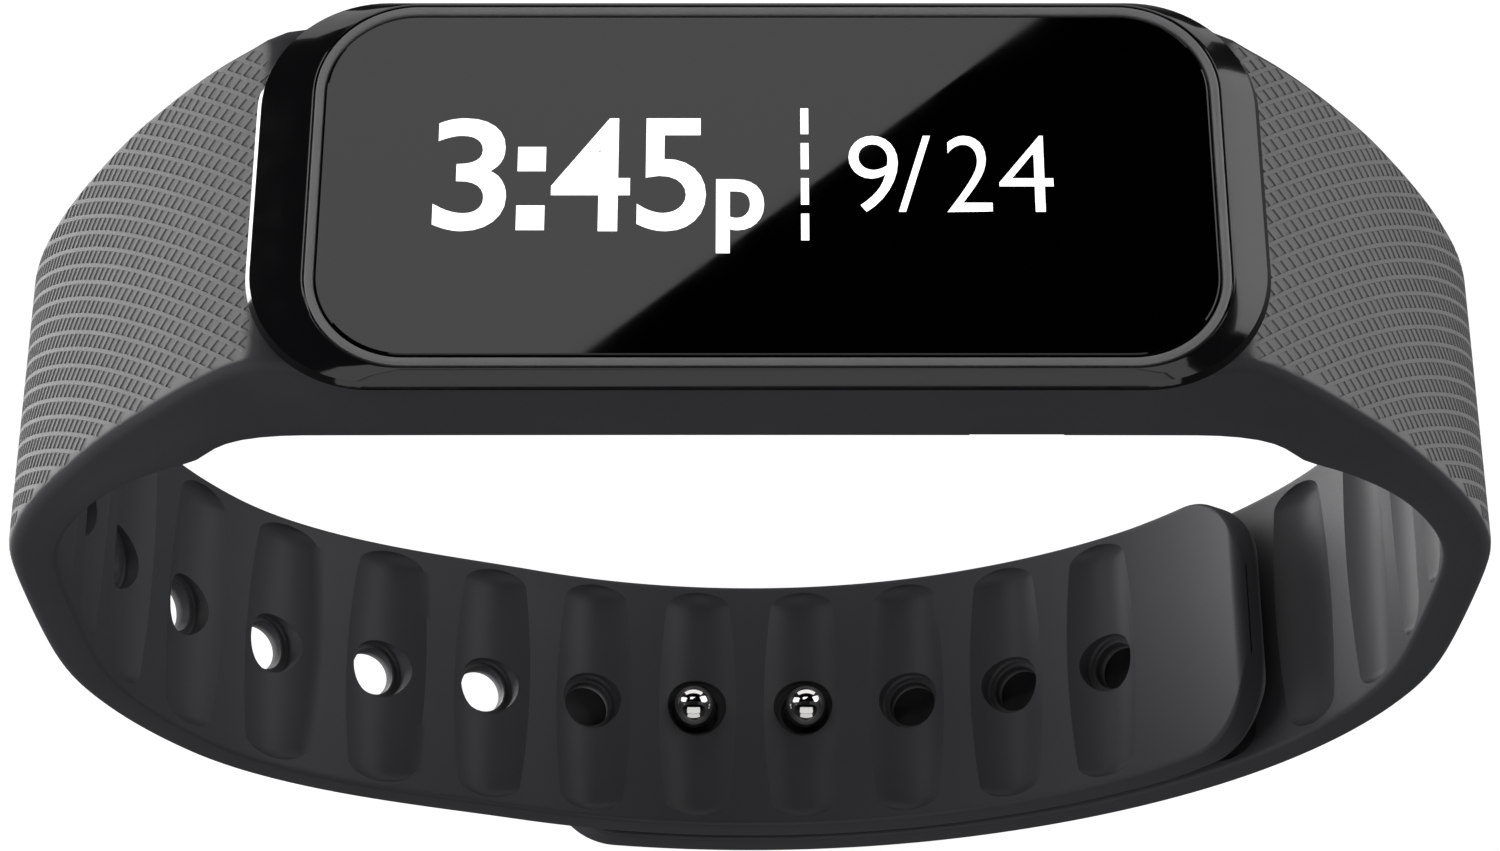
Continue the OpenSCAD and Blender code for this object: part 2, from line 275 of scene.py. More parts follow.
class Strap:
    """One half of the band, from the middle of the cradle to a free end; side is 1 for the left
    half and -1 for the right one."""

    def __init__(self, name, side, end, corner, last_groove, steps_in):
        self.name, self.side, self.end, self.corner = name, side, end, corner
        self.last_groove, self.steps_in = last_groove, steps_in

    def plain_outer(self, angle):
        """Outer radius of the strap, without the flat top of the cradle. The arms next to the pod
        run almost straight, and the sides are a little squarer than a circle."""
        bend = rise(angle, BEND)
        swell = BULGE * rise(np.abs(angle), SWELL) * (1 - bend)
        swell = swell - FLATTER * bend * rise(angle, ARM_JOINS[::-1])
        upright = RING_R / np.maximum(np.sin(np.radians(np.clip(angle, 1, 150))), 0.5)
        if not self.steps_in:
            return soft_minimum(RING_R + swell, upright, UPRIGHT_BLEND)
        thinner = TAPER * rise(-angle, (TAPER_START, TAIL_END))
        stepped = TAIL_R + (RING_R - TAIL_R) * rise(angle, STEP) - thinner + swell
        return soft_minimum(stepped, upright, UPRIGHT_BLEND)

    def outer(self, angle):
        lean = np.radians(np.clip(180 - angle, 0, 60))
        top = (CRADLE_TOP - RING_R) / np.cos(lean)
        return soft_minimum(self.plain_outer(angle), top, TOP_BLEND)

    def inner(self, angle):
        past = np.maximum(0, angle - SHOULDER_START)
        even = self.plain_outer(np.maximum(angle, -TAPER_START))
        strap = even - STRAP_T - SHOULDER_GAIN * past ** 2
        lean = np.radians(np.clip(180 - angle, 0, 60))
        flat = (CRADLE_BOTTOM - FLAT_DROP - RING_R) / np.cos(lean)
        return strap + (flat - strap) * rise(angle, FLATTENS)

    def place(self, angle, radius, y):
        turn = np.radians(angle)
        return np.stack([-self.side * radius * np.sin(turn), y, RING_R - radius * np.cos(turn)], -1)

    def on_face(self, angle):
        """A function that places a shape from the ring's centre: its Z goes outwards, its X along
        the strap."""
        turn = math.radians(angle)
        outwards = np.array([-self.side * math.sin(turn), 0, -math.cos(turn)])
        along = np.array([-self.side * math.cos(turn), 0, math.sin(turn)])
        middle = np.array([0, 0, RING_R])
        return lambda p: middle + p[:, :1] * along + p[:, 1:2] * [0, 1, 0] + p[:, 2:] * outwards

    def on_surface(self, angle):
        """A function that stands a shape on the outer face, tilted with it."""
        near = self.place(*self.surface_point(angle - 0.1))
        far = self.place(*self.surface_point(angle + 0.1))
        along = (far - near) / np.linalg.norm(far - near)
        outwards = np.array([-self.side * along[2], 0, self.side * along[0]])
        middle = (near + far) / 2
        return lambda p: middle + p[:, :1] * along + p[:, 1:2] * [0, 1, 0] + p[:, 2:] * outwards

    def surface_point(self, angle):
        return np.array(angle), self.outer(np.array(angle)), np.array(0.0)


def half_width(angle):
    """Half of the band's width: it widens gently up the arms, and again where the cradle starts."""
    share = rise(angle, ARM_WIDENS) / 2 + rise(angle, CRADLE_WIDENS) / 2
    return STRAP_HALF + (CRADLE_HALF - STRAP_HALF) * share


def inner_half_width(angle):
    """The same on the inner face, which is the wider one near the cradle."""
    return STRAP_HALF + (CRADLE_HALF - STRAP_HALF) * rise(angle, INNER_WIDENS)


def groove_cap(y):
    """1 along a groove, falling to 0 in a quarter circle at its round end."""
    past = np.clip((np.abs(y) - GROOVE_CAP) / (GROOVE_STOP - GROOVE_CAP), 0, 1)
    return np.sqrt(1 - past ** 2)


def groove_half_width(y):
    """Half of a groove's width at y; past its end the mesh lines spread out again."""
    barrel = GROOVE_HALF * (1 - GROOVE_NARROWS * (y / GROOVE_REACH) ** 2) * groove_cap(y)
    spread = LINE_SPREAD * smooth((np.abs(y) - GROOVE_STOP) / SPREAD_LENGTH)
    return np.maximum(barrel, LEAST_HALF) + spread


def section_table():
    """The points round a strap's section. Each row says how its y adds up from the half width and
    the two fillets, and its radius from the outer and inner radius and the two fillets."""
    quarter = np.radians(np.linspace(0, 90, 7))[1:]
    outer_face = [(v, -v, 0, 1, 0, 0, 0) for v in np.linspace(-1, 1, 9)]
    edge = [(1, math.sin(t) - 1, 0, 1, 0, math.cos(t) - 1, 0) for t in quarter]
    edge += [(1, 0, 0, 1 - k, k, k - 1, k) for k in (0.5, 1)]
    edge += [(1, 0, math.cos(t) - 1, 0, 1, 0, 1 - math.sin(t)) for t in quarter]
    # Lines along the inner face, closer together where the grooves' round ends are
    wide, close, closest = (5.9, 0.35), (5.95, 6.6, 0.12), (6.65, 7.12, 0.06)
    lines = np.concatenate([np.arange(0, *wide), np.arange(*close), np.arange(*closest)])
    lines = lines / (STRAP_HALF - INNER_FILLET)
    lines = np.concatenate([lines[::-1], -lines[1:], [-1]])
    inner_face = [(v, 0, -v, 0, 1, 0, 0) for v in lines]
    mirrored = [(-a, -b, -c, *rest) for a, b, c, *rest in edge[-2::-1]]
    on_inner = [False] * (len(outer_face) + len(edge)) + [True] * len(inner_face)
    on_inner += [False] * len(mirrored)
    return np.array(outer_face + edge + inner_face + mirrored), np.array(on_inner)


def station_rows(strap):
    """Rows of (angle, share of the groove's half width, depth share, end inset, end narrowing)."""
    rows = [(a, 0, 0, 0, 0) for a in np.linspace(180, (FIRST_GROOVE + 1) * PITCH, 46)[:-1]]
    ridge = [1 / 3, 2 / 3, 1]
    for i in range(FIRST_GROOVE, strap.last_groove - 1, -1):
        middle = (i + 0.5) * PITCH
        rows += [(middle + q * PITCH / 2, 1 - q, 0, 0, 0) for q in ridge[::-1]]
        rows += [(middle, t, 1 - t * t, 0, 0) for t in np.linspace(1, -1, 15)]
        rows += [(middle - q * PITCH / 2, q - 1, 0, 0, 0) for q in ridge[:-1]]
    from_angle = strap.last_groove * PITCH
    radius = RING_R if not strap.steps_in else TAIL_R
    to_end = lambda s: -strap.end + math.degrees(s / radius)
    plain = np.arange(from_angle, to_end(strap.corner), -PLAIN_STEP)
    rows += [(a, 0, 0, 0, 0) for a in plain]
    for turn in np.radians(np.linspace(90, 0, 21)):
        from_end = strap.corner * (1 - math.cos(turn))
        left = max(0, END_ROUNDING - from_end)
        inset = END_ROUNDING - math.sqrt(END_ROUNDING ** 2 - left ** 2)
        rows.append((to_end(from_end), 0, 0, inset, strap.corner * (1 - math.sin(turn))))
    return np.array(rows)


def strap_body(strap):
    """The strap's closed skin with its grooves, before holes and texture."""
    table, on_inner = section_table()
    rows = station_rows(strap)
    middle, share, dig, inset, narrow = (rows[:, k : k + 1] for k in range(5))
    groove_y = np.where(on_inner, table[:, 0], 1) * (STRAP_HALF - INNER_FILLET)
    warp = groove_half_width(groove_y) / (TAIL_R - STRAP_T)
    angle = middle + share * np.degrees(warp)
    outer, inner = strap.outer(angle) - inset, strap.inner(angle) + inset
    a0, a1, a2, b0, b1, b2, b3 = table.T
    width = half_width(angle) * (1 - b1) + inner_half_width(angle) * b1 - inset - narrow
    y = a0 * width + a1 * OUTER_FILLET + a2 * INNER_FILLET
    radius = b0 * outer + b1 * inner + b2 * OUTER_FILLET + b3 * INNER_FILLET
    shallower = 1 - GROOVE_SHALLOWS * (groove_y / GROOVE_STOP) ** 2
    depth = GROOVE_DEPTH * shallower * groove_cap(groove_y)
    radius = radius + np.where(on_inner, depth * dig, 0)
    points = strap.place(angle, radius, y)
    return loft(strap.name, list(points))


def hole_shape(strap, angle):
    """A strap hole with the shallow counterbore round it on the inner face."""
    floor = float(strap.plain_outer(np.array(angle))) - STRAP_T + GROOVE_DEPTH
    step = floor + COUNTERBORE_DEPTH
    through, corner, lip, lip_height = 4, 0.12, 0.06, 0.08
    profile = [(COUNTERBORE_R, floor - through), (COUNTERBORE_R, step - corner),
               (COUNTERBORE_R - corner, step), (HOLE_R + lip, step),
               (HOLE_R, step + lip_height), (HOLE_R, floor + through)]
    return turned(profile, strap.on_face(angle), steps=48)


def pocket_shapes(strap, holes, low, high):
    """Shallow parallelogram pockets on the lattice, over the strap's outer face."""
    corners = np.array([(-1, -1), (1, -1), (1, 1), (-1, 1)]) * POCKET_SHARE / 2
    flat = corners[:, :1] * STEP_A + corners[:, 1:] * STEP_B
    faces = [(0, 1, 2, 3), (4, 5, 6, 7), (0, 1, 5, 4), (1, 2, 6, 5), (2, 3, 7, 6), (3, 0, 4, 7)]
    reach = math.radians(high - low) * RING_R
    count = int(reach / STEP_A[0]) + 20
    shapes = []
    for i in range(-count, count):
        for j in range(-count, count):
            along, across = i * STEP_A + j * STEP_B
            far = reach - along
            bent = min(far, BEND_REACH)
            across -= ROW_BEND * bent * (2 * far - bent)
            angle = low + math.degrees(along / RING_R)
            if not low <= angle <= high:
                continue
            if abs(across) > half_width(angle) - OUTER_FILLET + EDGE_OVERLAP:
                continue
            gaps = [math.hypot(math.radians(angle - h) * RING_R, across) for h in holes]
            if gaps and min(gaps) < HOLE_R + HOLE_MARGIN:
                continue
            points = np.concatenate([
                np.column_stack([flat * POCKET_FLOOR, np.full(4, -POCKET_DEPTH)]),
                np.column_stack([flat * POCKET_MOUTH, np.full(4, MOUTH_HEIGHT)]),
            ])
            points[:, 1] += across + 2 * ROW_BEND * bent * points[:, 0]
            shapes.append((strap.on_surface(angle)(points), faces))
    return shapes


def plate_shape(name, centre_x, half, corner, low, high):
    return loft(name, [rounded_loop(centre_x, half, corner, z) for z in (low, high)])


def carve_cradle(piece):
    """The pocket that holds the pod, the window under it, and the small notch at the near edge."""
    low, high = box_mm("bottom_housing")
    ledge = box_mm("housing_screws")[0][2]
    middle = (low[0] + high[0]) / 2
    half = ((high[0] - low[0]) / 2 + POD_PLAY, (high[1] - low[1]) / 2 + POD_PLAY)
    carve(piece, plate_shape("pod_cut", middle, half, POD_CORNER, ledge, CRADLE_TOP + 5))
    carve(piece, plate_shape("window_cut", middle, WINDOW_HALF, WINDOW_CORNER,
                             CRADLE_BOTTOM - 5, ledge + 1))
    notch = rounded_loop(NOTCH_X, NOTCH_HALF, NOTCH_CORNER, 0)
    notch[:, 1] -= CRADLE_HALF + NOTCH_OUT
    loops = [notch + [0, 0, CRADLE_BOTTOM - FLAT_DROP + z] for z in (-1, NOTCH_HEIGHT)]
    carve(piece, loft("notch_cut", loops))


def mark_depth(piece, strap):
    """Stores each point's depth below the strap's outer face, which the silicone's colour
    follows. The top end, past the texture, counts as deeper, so that it takes the smooth colour;
    the rounded side edges count as deeper too, partly for their smooth colour and partly as painted
    shade."""
    count = len(piece.data.vertices)
    co = np.zeros(count * 3, np.float32)
    piece.data.vertices.foreach_get("co", co)
    x, y, z = (co.reshape(-1, 3) / MM).T
    angle = np.degrees(np.arctan2(-strap.side * x, RING_R - z))
    angle = np.where(angle < -strap.end - 5, angle + 360, angle)
    depth = strap.outer(angle) - np.hypot(x, z - RING_R)
    depth += TOP_GAIN * smooth((angle - TEXTURE_TOP + TOP_EARLY) / TOP_FADE)
    # Painted shade on the rounded side edges, together with their own smooth dark colour
    past_edge = np.abs(y) - half_width(angle) + OUTER_FILLET - EDGE_LATE
    depth += EDGE_SMOOTH_AND_SHADE_GAIN * smooth(past_edge / EDGE_FADE)
    attribute = piece.data.attributes.new("depth", "FLOAT", "POINT")
    attribute.data.foreach_set("value", depth.astype(np.float32))


def build_strap(strap, holes, texture_low):
    piece = strap_body(strap)
    if holes:
        carve(piece, join_shapes("holes", [hole_shape(strap, a) for a in holes]))
    carve_cradle(piece)
    carve(piece, join_shapes("pockets", pocket_shapes(strap, holes, texture_low, TEXTURE_TOP)))
    return piece


def carve_clasp_seat(piece):
    """The recess for the clasp plate under the outer strap, and the holes for the studs' necks."""
    play, corner, roof_play, neck_play = 0.05, 1.25, 0.02, 0.03
    half = (PLATE_HIGH[0] + play, PLATE_HIGH[1] + play)
    carve(piece, plate_shape("plate_cut", 0, half, corner, -1, PLATE_HIGH[2] + roof_play))
    profile = [(NECK_R + neck_play, 0), (NECK_R + neck_play, 5)]
    necks = [turned(profile, lambda p, x=x: p + [x, 0, 0]) for x in (-STUD_X, STUD_X)]
    carve(piece, join_shapes("neck_cut", necks))


# ---------------------------------------------------------------- pod and clasp


def ring_sizes():
    """The trim ring's middle, half length and width, corner radius, underside and top."""
    low, high = box_mm("trim_ring")
    half = ((high[0] - low[0]) / 2, high[1])
    return (low[0] + high[0]) / 2, half, TRIM_CORNER, low[2], high[2]


def build_bezel():
    """The glossy cap: a low skirt, sides that slope up to the trim ring, and the seat for the
    glass."""
    low, high = box_mm("top_bezel")
    ring_middle, ring_half, ring_corner, seat, _ = ring_sizes()
    body_low, body_high = box_mm("bottom_housing")
    base = ((low[0] + high[0]) / 2, ((high[0] - low[0]) / 2, high[1]), BEZEL_CORNER)
    top = (ring_middle, ring_half, ring_corner)
    body = (base[0], ((body_high[0] - body_low[0]) / 2, body_high[1]), BODY_CORNER)
    wall, gap = 0.8, 0.03
    opening = (base[0], (body[1][0] - wall, body[1][1] - wall), OPENING_CORNER)
    under, crest = CRADLE_TOP + gap, high[2] - gap
    skirt, step_in, crest_edge = 0.42, 0.2, 0.06

    def between(share, z):
        a, b = outline(*base, -step_in, z), outline(*top, crest_edge, z)
        return a + (b - a) * share

    slope = lambda share: between(share, under + skirt + (crest - under - skirt) * share)
    loops = [
        outline(*base, -0.1, under), outline(*base, -0.03, under + 0.03),
        outline(*base, 0, under + 0.08), slope(0), slope(0.03), slope(0.5), slope(0.95),
        between(1, crest - 0.01), outline(*top, 0.03, crest), outline(*top, 0, crest - 0.02),
        outline(*top, 0, seat), outline(*opening, 0, seat), outline(*opening, 0, low[2]),
        outline(*body, 0, low[2]), outline(*body, 0, under), outline(*base, -1, under),
    ]
    piece = loft("bezel", loops, around=True)
    soften(piece, 25)
    return piece


def build_trim():
    """The thin grey ring round the glass, with rounded edges and a hairline gap on either side."""
    middle, half, corner, low, high = ring_sizes()
    top = high - 0.005
    profile = [(-0.08, low), (-0.08, top - 0.1), (-0.1, top - 0.03), (-0.15, top),
               (-0.38, top), (-0.43, top - 0.02), (-0.46, top - 0.08), (-0.46, low)]
    piece = loft("trim", [outline(middle, half, corner, g, z) for g, z in profile], around=True)
    soften(piece, 40)
    return piece


def build_glass():
    """The cover glass, with a small bevel round its edge."""
    middle, half, corner, _, high = ring_sizes()
    low = box_mm("cover_glass")[0][2]
    top = high - 0.03
    profile = [(-0.56, low), (-0.56, top - 0.09), (-0.58, top - 0.03), (-0.64, top)]
    piece = loft("display_window", [outline(middle, half, corner, g, z) for g, z in profile])
    soften(piece, 20)
    return piece, top


def flat_text(text, left, right, low, high, z, bolder):
    """The outline of generic numerals as (points, faces), stretched to fill a box on the glass."""
    curve = bpy.data.curves.new("numerals", "FONT")
    curve.body, curve.offset, curve.resolution_u = text, bolder, 6
    holder = bpy.data.objects.new("numerals", curve)
    bpy.context.scene.collection.objects.link(holder)
    graph = bpy.context.evaluated_depsgraph_get()
    mesh = bpy.data.meshes.new_from_object(holder.evaluated_get(graph))
    points = np.array([v.co[:] for v in mesh.vertices])
    faces = [tuple(p.vertices) for p in mesh.polygons]
    bpy.data.objects.remove(holder)
    lowest, highest = points.min(0), points.max(0)
    share = (points[:, :2] - lowest[:2]) / (highest - lowest)[:2]
    x, y = left + share[:, 0] * (right - left), low + share[:, 1] * (high - low)
    return np.stack([x, y, np.full(len(x), z)], 1), faces


def bar(left, right, low, high, z):
    points = np.array([(left, low, z), (right, low, z), (right, high, z), (left, high, z)])
    return points, [(0, 1, 2, 3)]


def build_readout(z):
    """The lit time and date: plain numerals and a dashed divider, on the glass."""
    bold, thin = (-2.43, 3.11, z, 0.01), (-1.49, 2.24, z, -0.008)
    shapes = [
        flat_text("3", -13.45, -10.35, *bold), flat_text("4", -8.45, -5.1, *bold),
        flat_text("5", -4.8, -1.87, *bold), flat_text("p", -1.44, 0.6, -3.49, 0.1, z, 0.02),
        flat_text("9", 4.2, 6.3, *thin), flat_text("/", 6.3, 7.7, *thin),
        flat_text("2", 8.37, 10.28, *thin), flat_text("4", 10.6, 12.9, *thin),
    ]
    dot, dash_step = 1.2, 1.73
    shapes += [bar(-9.9, -8.7, low, low + dot, z) for low in (-2.38, 0.49)]
    shapes += [bar(2.16, 2.5, 2.32 - dash_step * k, 3.61 - dash_step * k, z) for k in range(4)]
    piece = join_shapes("display_readout", shapes)
    for face in piece.data.polygons:
        if face.normal.z < 0:
            face.flip()
    return piece


def build_studs():
    """The two polished ball studs, each on a neck that flares into the plate."""
    plate_top, flare, pole = PLATE_HIGH[2], 0.15, 0.02
    profile = [(pole, plate_top), (NECK_R + flare, plate_top), (NECK_R, plate_top + flare)]
    start = math.asin(NECK_R / BALL_R)
    for turn in np.linspace(start, math.pi - pole, 26):
        profile.append((BALL_R * math.sin(turn), BALL_Z - BALL_R * math.cos(turn)))
    shapes = [turned(profile, lambda p, x=x: p + [x, 0, 0], steps=56) for x in (-STUD_X, STUD_X)]
    piece = join_shapes("ball_studs", shapes)
    soften(piece, 40)
    return piece


def build_plate():
    """The steel clasp plate under the outer strap, with rounded edges."""
    half, top = (PLATE_HIGH[0], PLATE_HIGH[1]), PLATE_HIGH[2]
    edge, corner = 0.2, 1.2
    turn = np.radians(np.linspace(0, 90, 6))
    low = [(-edge * (1 - math.sin(t)), edge * (1 - math.cos(t))) for t in turn]
    profile = low + [(grow, top - z) for grow, z in low[::-1]]
    piece = loft("clasp_backing", [outline(0, half, corner, g, z) for g, z in profile])
    soften(piece, 30)
    return piece


# ---------------------------------------------------------------- materials


def node(tree, kind, values=None, **settings):
    made = tree.nodes.new(kind)
    for key, value in settings.items():
        setattr(made, key, value)
    for key, value in (values or {}).items():
        made.inputs[key].default_value = value
    return made


def noise(tree, scale, detail=3, stretch=(1, 1, 1)):
    """A noise texture in the object's own space; stretch turns it into a brushed grain."""
    coords = node(tree, "ShaderNodeTexCoord")
    mapping = node(tree, "ShaderNodeMapping", {"Scale": stretch})
    texture = node(tree, "ShaderNodeTexNoise", {"Scale": scale, "Detail": detail})
    tree.links.new(coords.outputs["Object"], mapping.inputs["Vector"])
    tree.links.new(mapping.outputs["Vector"], texture.inputs["Vector"])
    return texture.outputs["Fac"]


def map_range(tree, source, low, high, from_low=0.3, from_high=0.7, curve="LINEAR"):
    values = {"From Min": from_low, "From Max": from_high, "To Min": low, "To Max": high}
    made = node(tree, "ShaderNodeMapRange", values, interpolation_type=curve)
    tree.links.new(source, made.inputs["Value"])
    return made.outputs["Result"]


def mix_colour(tree, share, first, second):
    """Mixes two colours, each a tuple or another node's output."""
    made = node(tree, "ShaderNodeMix", data_type="RGBA")
    tree.links.new(share, made.inputs["Factor"])
    for key, value in (("A", first), ("B", second)):
        socket = next(s for s in made.inputs if s.name == key and s.type == "RGBA")
        if isinstance(value, tuple):
            socket.default_value = (*value, 1)
        else:
            tree.links.new(value, socket)
    return next(s for s in made.outputs if s.type == "RGBA")


def add_bump(tree, height, shader, distance):
    bump = node(tree, "ShaderNodeBump", {"Strength": 1.0, "Distance": distance})
    tree.links.new(height, bump.inputs["Height"])
    tree.links.new(bump.outputs["Normal"], shader.inputs["Normal"])


def new_material(name):
    material = bpy.data.materials.new(name)
    material.use_nodes = True
    return material, material.node_tree, material.node_tree.nodes["Principled BSDF"]


def finish_material(name, colour, roughness, variation=0.12, grain=2500, bump=2e-6, spread=0.06,
                    stretch=(1, 1, 1), **sockets):
    """A moulded, coated or metal surface: colour and roughness drift slowly, with a fine grain."""
    material, tree, shader = new_material(name)
    fine, slow = noise(tree, grain, 4, stretch), noise(tree, grain / 12, 2)
    darker = tuple(c * (1 - variation) for c in colour)
    lighter = tuple(min(1, c * (1 + variation)) for c in colour)
    tree.links.new(mix_colour(tree, slow, darker, lighter), shader.inputs["Base Color"])
    rough = map_range(tree, fine, max(0.01, roughness - spread), roughness + spread)
    tree.links.new(rough, shader.inputs["Roughness"])
    add_bump(tree, fine, shader, bump)
    for key, value in sockets.items():
        shader.inputs[key.replace("_", " ")].default_value = value
    return material


def silicone_material():
    """Silicone: pale and matt on the textured outer face, darker and silkier on the smooth rest,
    and darker as painted shade on the rounded side edges, through the depth attribute.
    """
    material, tree, shader = new_material("silicone")
    depth = node(tree, "ShaderNodeAttribute", attribute_name="depth")
    outside = map_range(tree, depth.outputs["Fac"], 1, 0, 0.04, 0.5, "SMOOTHSTEP")
    slow, fine = noise(tree, 180, 2), noise(tree, 9000, 3)
    smooth_skin = mix_colour(tree, slow, (0.040, 0.041, 0.044), (0.050, 0.051, 0.055))
    rough_skin = mix_colour(tree, slow, (0.225, 0.225, 0.226), (0.255, 0.255, 0.256))
    tree.links.new(mix_colour(tree, outside, smooth_skin, rough_skin), shader.inputs["Base Color"])
    grain = map_range(tree, fine, -0.04, 0.04)
    rough = node(tree, "ShaderNodeMath", operation="ADD")
    tree.links.new(map_range(tree, outside, 0.52, 0.72, 0, 1), rough.inputs[0])
    tree.links.new(grain, rough.inputs[1])
    tree.links.new(rough.outputs[0], shader.inputs["Roughness"])
    add_bump(tree, fine, shader, 3e-6)
    shader.inputs["Specular IOR Level"].default_value = 0.35
    return material


def board_material():
    """Green circuit board with paler copper paths under the lacquer."""
    material, tree, shader = new_material("circuit_board")
    coords = node(tree, "ShaderNodeTexCoord")
    paths = node(tree, "ShaderNodeTexVoronoi", {"Scale": 900.0}, feature="DISTANCE_TO_EDGE")
    tree.links.new(coords.outputs["Object"], paths.inputs["Vector"])
    lines = map_range(tree, paths.outputs["Distance"], 1, 0, 0.03, 0.09)
    colour = mix_colour(tree, lines, (0.01, 0.07, 0.03), (0.03, 0.16, 0.06))
    tree.links.new(colour, shader.inputs["Base Color"])
    tree.links.new(map_range(tree, noise(tree, 3000), 0.3, 0.42), shader.inputs["Roughness"])
    add_bump(tree, lines, shader, 8e-6)
    return material


def lit_material():
    """The readout's own light, with a faint drift in brightness over its area."""
    material, tree, shader = new_material("lit_numerals")
    tree.links.new(mix_colour(tree, noise(tree, 4000), (0.9, 0.9, 0.9), (1.0, 1.0, 1.0)),
                   shader.inputs["Emission Color"])
    shader.inputs["Base Color"].default_value = (0.8, 0.8, 0.8, 1)
    shader.inputs["Roughness"].default_value = 0.4
    shader.inputs["Emission Strength"].default_value = 1.3
    return material


def dress(piece, material, slot=None):
    piece.data.materials.clear()
    piece.data.materials.append(material)


def dress_inside():
    """Finishes for the CAD pieces that show as they are, most of them inside the pod."""
    brushed = (1, 14, 1)
    metal = {"Metallic": 1.0}
    dull_black = finish_material("moulded_black", (0.02, 0.02, 0.022), 0.32, grain=3500)
    chip = finish_material("chip_resin", (0.025, 0.025, 0.027), 0.5, grain=6000, bump=4e-6)
    steel = finish_material("fine_steel", (0.55, 0.55, 0.56), 0.3, stretch=brushed, **metal)
    finishes = {
        "glass_gasket": (
            finish_material("adhesive_foam", (0.015, 0.015, 0.015), 0.8, bump=8e-6),
            "seal_rubber"),
        "touch_sensor": (finish_material("sensor_film", (0.04, 0.07, 0.09), 0.15), "sensor_film"),
        "oled_panel": (finish_material("panel", (0.006, 0.006, 0.014), 0.12), "display_panel"),
        "display_flex": (finish_material("polyimide", (0.45, 0.17, 0.03), 0.35), "flex_copper"),
        "display_frame": (
            finish_material("stamped_frame", (0.32, 0.34, 0.37), 0.38, stretch=brushed, **metal),
            "frame_metal"),
        "main_board": (board_material(), "circuit_board"),
        "processor_chip": (chip, "chip_black"),
        "memory_chip": (chip, "chip_black"),
        "radio_chip": (chip, "chip_black"),
        "motion_sensor": (
            finish_material("sensor_lid", (0.12, 0.12, 0.125), 0.4, grain=5000), "chip_black"),
        "shield_can": (steel, "frame_metal"),
        "antenna": (finish_material("ceramic", (0.62, 0.5, 0.3), 0.45), "antenna_ceramic"),
        "battery": (
            finish_material("pouch_foil", (0.5, 0.52, 0.56), 0.34, grain=900, bump=3e-5,
                            Metallic=0.8), "battery_foil"),
        "battery_leads": (
            finish_material("lead_sleeve", (0.35, 0.02, 0.02), 0.45), "lead_insulation"),
        "motor_case": (steel, "frame_metal"),
        "motor_shaft": (steel, "frame_metal"),
        "rotor_weight": (
            finish_material("tungsten", (0.34, 0.32, 0.29), 0.42, grain=4000, bump=6e-6,
                            **metal), "rotor_alloy"),
        "bottom_housing": (dull_black, "housing_black"),
        "housing_seal": (finish_material("seal", (0.02, 0.02, 0.02), 0.7), "seal_rubber"),
        "housing_screws": (steel, "frame_metal"),
        "charging_contacts": (
            finish_material("gold_plate", (0.83, 0.58, 0.22), 0.22, **metal), "contact_gold"),
    }
    for name, (material, slot) in finishes.items():
        dress(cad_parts[name], material, slot)


# ---------------------------------------------------------------- camera, light and floor

CAMERA = np.array([0, -73.7, 193.1])
CAMERA_TILT = 26
LENS, SENSOR = 82.9, 36


def add_camera():
    data = bpy.data.cameras.new("camera")
    data.lens, data.sensor_width = LENS, SENSOR
    data.clip_start, data.clip_end = 0.01, 20
    camera = bpy.data.objects.new("camera", data)
    camera.location = CAMERA * MM
    camera.rotation_euler = (math.radians(CAMERA_TILT), 0, 0)
    bpy.context.scene.collection.objects.link(camera)
    bpy.context.scene.camera = camera


def softbox(name, direction, distance, size, strength, mirrored=True, matt=True, aim=(0, 0, 40)):
    """A rectangular area light that faces the object; strength is the radiance of its face.
    Without mirrored it shows in no reflection, and without matt it lights no matt surface."""
    data = bpy.data.lights.new(name, "AREA")
    data.shape, data.size, data.size_y = "RECTANGLE", size[0] * MM, size[1] * MM
    data.energy = strength * math.pi * size[0] * size[1] * MM ** 2
    light = bpy.data.objects.new(name, data)
    place = Vector(aim) + Vector(direction).normalized() * distance
    light.location = place * MM
    light.rotation_euler = (place - Vector(aim)).to_track_quat("Z", "Y").to_euler()
    light.visible_camera = False
    light.visible_glossy, light.visible_diffuse = mirrored, matt
    bpy.context.scene.collection.objects.link(light)


def glow_material(name, radiance):
    material = bpy.data.materials.new(name)
    material.use_nodes = True
    tree = material.node_tree
    tree.nodes.clear()
    glow = node(tree, "ShaderNodeEmission", {"Strength": radiance})
    out = node(tree, "ShaderNodeOutputMaterial")
    tree.links.new(glow.outputs[0], out.inputs["Surface"])
    return material


def add_reflected_card(glass_top):
    """A card up behind the object whose slanted edge is mirrored across the glass."""
    height = 700
    edge_on_glass = np.array([[-7.0, -8.3, glass_top], [12.2, 7.9, glass_top]])
    mirrored = np.array([CAMERA[0], CAMERA[1], 2 * glass_top - CAMERA[2]])
    edge = edge_on_glass + (edge_on_glass - mirrored) * height / (glass_top - mirrored[2])
    run = edge[1] - edge[0]
    before, after, left = 0.45, 0.5, -260
    first, second = edge[0] - run * before, edge[1] + run * after
    corners = [first, second, [left, second[1], edge[0][2]], [left, first[1], edge[0][2]]]
    card = mesh_object("card", np.array(corners), [(0, 1, 2, 3)])
    card.data.materials.append(glow_material("card_glow", 1.6))
    card.visible_camera = False


